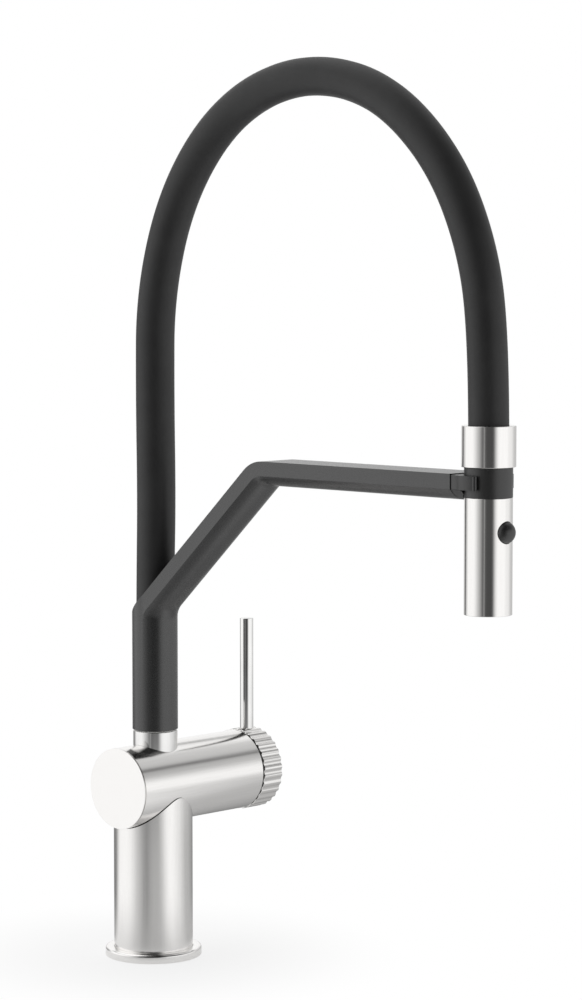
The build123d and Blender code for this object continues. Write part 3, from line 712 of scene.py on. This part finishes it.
def spout_collar():
    """Ring that saddles the barrel under the arm."""
    low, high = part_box("spout_collar")
    axis = barrel_axis()
    outline = ring_outline(collar_bore, high.y, axis.z, high.z)
    ring = turned("collar_ring", "Z", (low + high) / 2, outline)
    round_off(ring, soft_edge)
    barrel_low, barrel_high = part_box("mixing_barrel")
    combine(ring, rod_tool("X", axis, barrel_high.y + fit / 2, barrel_low.x, barrel_high.x))
    smooth_by_angle(ring)
    fit_out(ring, "base", "polished_steel", bright_steel, "spout_collar")


def support_arm():
    """The CAD arm with its edges finely rounded."""
    arm = copy_of("support_arm", "coated_arm")
    round_off(arm, arm_edge, arm_edge_angle)
    join_close_points(arm)
    fit_out(arm, "spout", "black_coating", arm_black, "support_arm")


def clip_shoulder_block(side, bottom, top):
    """Block whose outer face runs from the bar's side to a tangent of the hook."""
    turn = math.radians(clip_shoulder_turn)
    along = Vector((side * math.sin(turn), -math.cos(turn), 0))
    inward = Vector((-side * math.cos(turn), -math.sin(turn), 0))
    corner = Vector((spout_axis_offset + side * clip_side, -clip_shoulder, (bottom + top) / 2))
    bpy.ops.object.select_all(action="DESELECT")
    bpy.ops.mesh.primitive_cube_add(
        size=1, rotation=(0, 0, side * turn),
        location=corner + along * clip_shoulder_length / 2 + inward * clip_shoulder_depth / 2,
        scale=(clip_shoulder_depth, clip_shoulder_length, top - bottom),
    )
    block = bpy.context.object
    bpy.ops.object.transform_apply(location=True, rotation=True, scale=True)
    return block


def holder_clip():
    """Clip with filled shoulders beside the bar and a rounded bead at each end of its hook."""
    clip = copy_of("holder_clip", "clip_hook")
    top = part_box("holder_clip")[1].z
    bottom = top - clip_ring_height
    bpy.ops.object.mode_set(mode="EDIT")
    bpy.ops.mesh.select_all(action="SELECT")
    bpy.ops.mesh.bisect(
        plane_co=(0, -clip_cut, top), plane_no=(0, -1, 0), use_fill=True, clear_outer=True)
    bpy.ops.object.mode_set(mode="OBJECT")
    for side in (-1, 1):
        combine(clip, clip_shoulder_block(side, bottom, top), "UNION")
        bead_centre = (spout_axis_offset + side * clip_bead_offset, -clip_bead_reach, top)
        bead = rod_tool("Z", bead_centre, clip_bead_radius, bottom, top, small_sides)
        combine(clip, bead, "UNION")
    round_off(clip, soft_edge, clip_edge_angle)
    fit_out(clip, "spout", "black_plastic", clip_black, "holder_clip")


# Handset

def handset_axis():
    """Middle of the handset's tube, on its axis."""
    low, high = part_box("spray_shell")
    return (low + high) / 2


def handset_sleeve():
    """Ferrule round the hose's end, with a hole in its floor for the handset's neck."""
    low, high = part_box("handset_sleeve")
    radius = (high.x - low.x) / 2
    floor_height = low.z + sleeve_floor
    outline = [
        (neck_bore, low.z), (radius, low.z), (radius, high.z), (sleeve_bore, high.z),
        (sleeve_bore, floor_height), (neck_bore, floor_height), (neck_bore, low.z),
    ]
    sleeve = turned("hose_sleeve", "Z", handset_axis(), outline)
    round_off(sleeve, soft_edge)
    fit_out(sleeve, "hose_end", "brushed_steel", handset_steel, "handset_sleeve")


def docking_band():
    """Band with a web round the neck and a lip that reaches down into the steel shell."""
    low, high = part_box("docking_band")
    radius = (high.x - low.x) / 2
    bottom = low.z + band_lip_length
    lip = radius - shell_wall - fit
    lip_inner = lip - band_lip_wall
    inner = radius - band_wall
    ceiling = high.z - band_web
    outline = [
        (neck_bore, ceiling), (inner, ceiling), (inner, bottom), (lip_inner, bottom),
        (lip_inner, low.z), (lip, low.z), (lip, bottom), (radius, bottom), (radius, high.z),
        (neck_bore, high.z), (neck_bore, ceiling),
    ]
    band = turned("band_ring", "Z", handset_axis(), outline)
    round_off(band, fine_edge)
    fit_out(band, "handset", "black_plastic", clip_black, "docking_band")


def spray_shell():
    """Steel tube with a round window for the button."""
    low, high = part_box("spray_shell")
    radius = (high.x - low.x) / 2
    outline = ring_outline(radius - shell_wall, radius, low.z, high.z)
    shell = turned("shell_tube", "Z", handset_axis(), outline)
    round_off(shell, soft_edge)
    button_low, button_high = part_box("spray_button")
    window = (button_high.x - button_low.x) / 2 + button_window_gap
    button_middle = (button_low + button_high) / 2
    combine(shell, rod_tool("Y", button_middle, window, low.y - shell_wall, handset_axis().y))
    smooth_by_angle(shell)
    fit_out(shell, "handset", "brushed_steel", handset_steel, "spray_shell")


def spray_button():
    """Domed button with a blind bore behind."""
    low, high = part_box("spray_button")
    radius = (high.x - low.x) / 2
    dome_foot = low.y + radius
    dome_height = radius - dome_setback
    outline = [
        (button_bore, high.y - button_bore_depth), (button_bore, high.y), (radius, high.y),
    ]
    for ring in range(dome_rings):
        angle = math.pi / 2 * ring / dome_rings
        outline.append((radius * math.cos(angle), dome_foot - dome_height * math.sin(angle)))
    button = turned("button_dome", "Y", (low + high) / 2, outline, button_sides)
    close_ends(button)
    round_off(button, fine_edge)
    fit_out(button, "button", "black_plastic", clip_black, "spray_button")


def button_spring():
    """The button's spring, a copy of the CAD coil shaded smooth."""
    spring = copy_of("button_spring", "button_spring_coil")
    smooth_by_angle(spring)
    fit_out(spring, "handset", "steel_small_parts", small_steel, "button_spring")
    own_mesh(spring)


# Studio

def grey_ramp(tree, factor, stops):
    """Grey level along a factor from 0 to 1, as (place, level) stops."""
    ramp = tree.nodes.new("ShaderNodeValToRGB")
    elements = ramp.color_ramp.elements
    while len(elements) < len(stops):
        elements.new(0.5)
    # All the places first, because a place that is set sorts the stops anew
    for element, (place, level) in zip(elements, stops):
        element.position = place
    for element, (place, level) in zip(elements, stops):
        element.color = (level, level, level, 1)
    tree.links.new(factor, ramp.inputs["Fac"])
    return ramp.outputs["Color"]


def by_bearing(stops):
    """Stops by bearing as stops from 0 to 1, once round the studio."""
    return [(0.5 + turn / 360, level) for turn, level in stops]


def blended(tree, first, second, factor, kind="MIX"):
    """Mixes two colours, each a socket or a plain grey level."""
    mix = tree.nodes.new("ShaderNodeMix")
    mix.data_type = "RGBA"
    mix.blend_type = kind
    for name, value in (("Factor", factor), ("A", first), ("B", second)):
        if isinstance(value, bpy.types.NodeSocket):
            tree.links.new(value, mix.inputs[name])
        elif name == "Factor":
            mix.inputs[name].default_value = value
        else:
            mix.inputs[name].default_value = (value, value, value, 1)
    return mix.outputs["Result"]


def rise(tree, value, start, end, low=0.0, high=1.0):
    """Smooth change from low to high while a value goes from start to end."""
    span = spanned(tree, value, start, end, low, high)
    span.interpolation_type = "SMOOTHSTEP"
    return span.outputs["Result"]


def surround():
    """Colours of the studio and its floor by direction: white cards, dark behind the camera."""
    group = bpy.data.node_groups.new("studio_surround", "ShaderNodeTree")
    group.interface.new_socket("Direction", in_out="INPUT", socket_type="NodeSocketVector")
    group.interface.new_socket("Walls", in_out="OUTPUT", socket_type="NodeSocketColor")
    group.interface.new_socket("Floor", in_out="OUTPUT", socket_type="NodeSocketColor")
    start = group.nodes.new("NodeGroupInput")
    end = group.nodes.new("NodeGroupOutput")
    turn = group.nodes.new("ShaderNodeVectorRotate")
    turn.rotation_type = "Z_AXIS"
    turn.inputs["Angle"].default_value = math.radians(90 + view_azimuth)
    round_about = group.nodes.new("ShaderNodeTexGradient")
    round_about.gradient_type = "RADIAL"
    split = group.nodes.new("ShaderNodeSeparateXYZ")
    group.links.new(start.outputs["Direction"], turn.inputs["Vector"])
    group.links.new(turn.outputs["Vector"], round_about.inputs["Vector"])
    group.links.new(start.outputs["Direction"], split.inputs["Vector"])
    bearing = round_about.outputs["Fac"]
    elevation = split.outputs["Z"]
    level_walls = grey_ramp(group, bearing, by_bearing(level_stops))
    high_walls = grey_ramp(group, bearing, by_bearing(high_stops))
    walls = blended(group, level_walls, high_walls, rise(group, elevation, *wall_climb))
    walls = blended(group, walls, grey_ramp(group, elevation, gap_stops), 1.0, "MULTIPLY")
    group.links.new(walls, end.inputs["Walls"])
    group.links.new(grey_ramp(group, bearing, by_bearing(floor_stops)), end.inputs["Floor"])
    return group


studio = surround()


def studio_node(tree):
    """The studio's colours, in the direction that Object or Generated coordinates give."""
    around = tree.nodes.new("ShaderNodeGroup")
    around.node_tree = studio
    return around


def world_light():
    """Light of the studio all round, and plain white behind the tap for the camera."""
    world = bpy.data.worlds.new("studio_world")
    bpy.context.scene.world = world
    world.use_nodes = True
    tree = world.node_tree
    tree.nodes.clear()
    place = tree.nodes.new("ShaderNodeTexCoord")
    around = studio_node(tree)
    light = tree.nodes.new("ShaderNodeBackground")
    light.inputs["Strength"].default_value = studio_strength
    backdrop = tree.nodes.new("ShaderNodeBackground")
    backdrop.inputs["Color"].default_value = (1, 1, 1, 1)
    path = tree.nodes.new("ShaderNodeLightPath")
    mix = tree.nodes.new("ShaderNodeMixShader")
    out = tree.nodes.new("ShaderNodeOutputWorld")
    tree.links.new(place.outputs["Generated"], around.inputs["Direction"])
    tree.links.new(around.outputs["Walls"], light.inputs["Color"])
    tree.links.new(path.outputs["Is Camera Ray"], mix.inputs["Fac"])
    tree.links.new(light.outputs["Background"], mix.inputs[1])
    tree.links.new(backdrop.outputs["Background"], mix.inputs[2])
    tree.links.new(mix.outputs["Shader"], out.inputs["Surface"])


def floor():
    """Pale disc that fades into the white around it, and keeps the tap's shadow near its foot."""
    bpy.ops.object.select_all(action="DESELECT")
    bpy.ops.mesh.primitive_circle_add(
        vertices=floor_sides, radius=floor_radius, fill_type="NGON")
    table = bpy.context.object
    table.name = "floor"
    material, tree, shader = blank_material("floor_white", floor_colour, 0.0, floor_roughness)
    place = tree.nodes.new("ShaderNodeTexCoord")
    distance = tree.nodes.new("ShaderNodeVectorMath")
    distance.operation = "LENGTH"
    path = tree.nodes.new("ShaderNodeLightPath")
    around = studio_node(tree)
    tree.links.new(place.outputs["Object"], distance.inputs[0])
    tree.links.new(place.outputs["Object"], around.inputs["Direction"])
    away = distance.outputs["Value"]
    seen = rise(tree, away, *seen_fade, seen_foot_white)
    mirrored = rise(tree, away, *mirrored_fade, mirrored_foot_white)
    to_walls = rise(tree, away, *floor_tone_end)
    tone = blended(tree, around.outputs["Floor"], around.outputs["Walls"], to_walls)
    tone = blended(tree, 1.0, tone, rise(tree, away, *floor_tone_start))
    white = tree.nodes.new("ShaderNodeEmission")
    glossy_ray = path.outputs["Is Glossy Ray"]
    tree.links.new(blended(tree, 1.0, tone, glossy_ray), white.inputs["Color"])
    share = blended(tree, 0.0, seen, path.outputs["Is Camera Ray"])
    share = blended(tree, share, mirrored, glossy_ray)
    mix = tree.nodes.new("ShaderNodeMixShader")
    tree.links.new(share, mix.inputs["Fac"])
    tree.links.new(shader.outputs["BSDF"], mix.inputs[1])
    tree.links.new(white.outputs["Emission"], mix.inputs[2])
    tree.links.new(mix.outputs["Shader"], tree.nodes["Material Output"].inputs["Surface"])
    table.data.materials.append(material)


def camera():
    """Camera at the photograph's angle, with the photograph's framing."""
    data = bpy.data.cameras.new("camera")
    data.sensor_fit = "VERTICAL"
    data.sensor_height = sensor_height
    data.lens = lens
    data.dof.use_dof = False
    data.clip_start = near_limit
    eye = bpy.data.objects.new("camera", data)
    bpy.context.scene.collection.objects.link(eye)
    bearing = math.radians(view_azimuth)
    pitch = math.radians(view_pitch)
    towards = Vector((
        math.sin(bearing) * math.cos(pitch),
        math.cos(bearing) * math.cos(pitch),
        -math.sin(pitch),
    ))
    eye.location = Vector(view_target) - view_distance * towards
    eye.rotation_euler = (math.pi / 2 - pitch, 0, -bearing)
    bpy.context.scene.camera = eye


camera()
dress_cad_nodes()
spray_hose()
base_flange()
column()
mixing_barrel()
end_cap()
knob()
glide_and_shade_ring()
lever_rod()
spout_collar()
support_arm()
holder_clip()
handset_sleeve()
docking_band()
spray_shell()
spray_button()
button_spring()
world_light()
floor()
bpy.context.scene.view_settings.view_transform = "Standard"
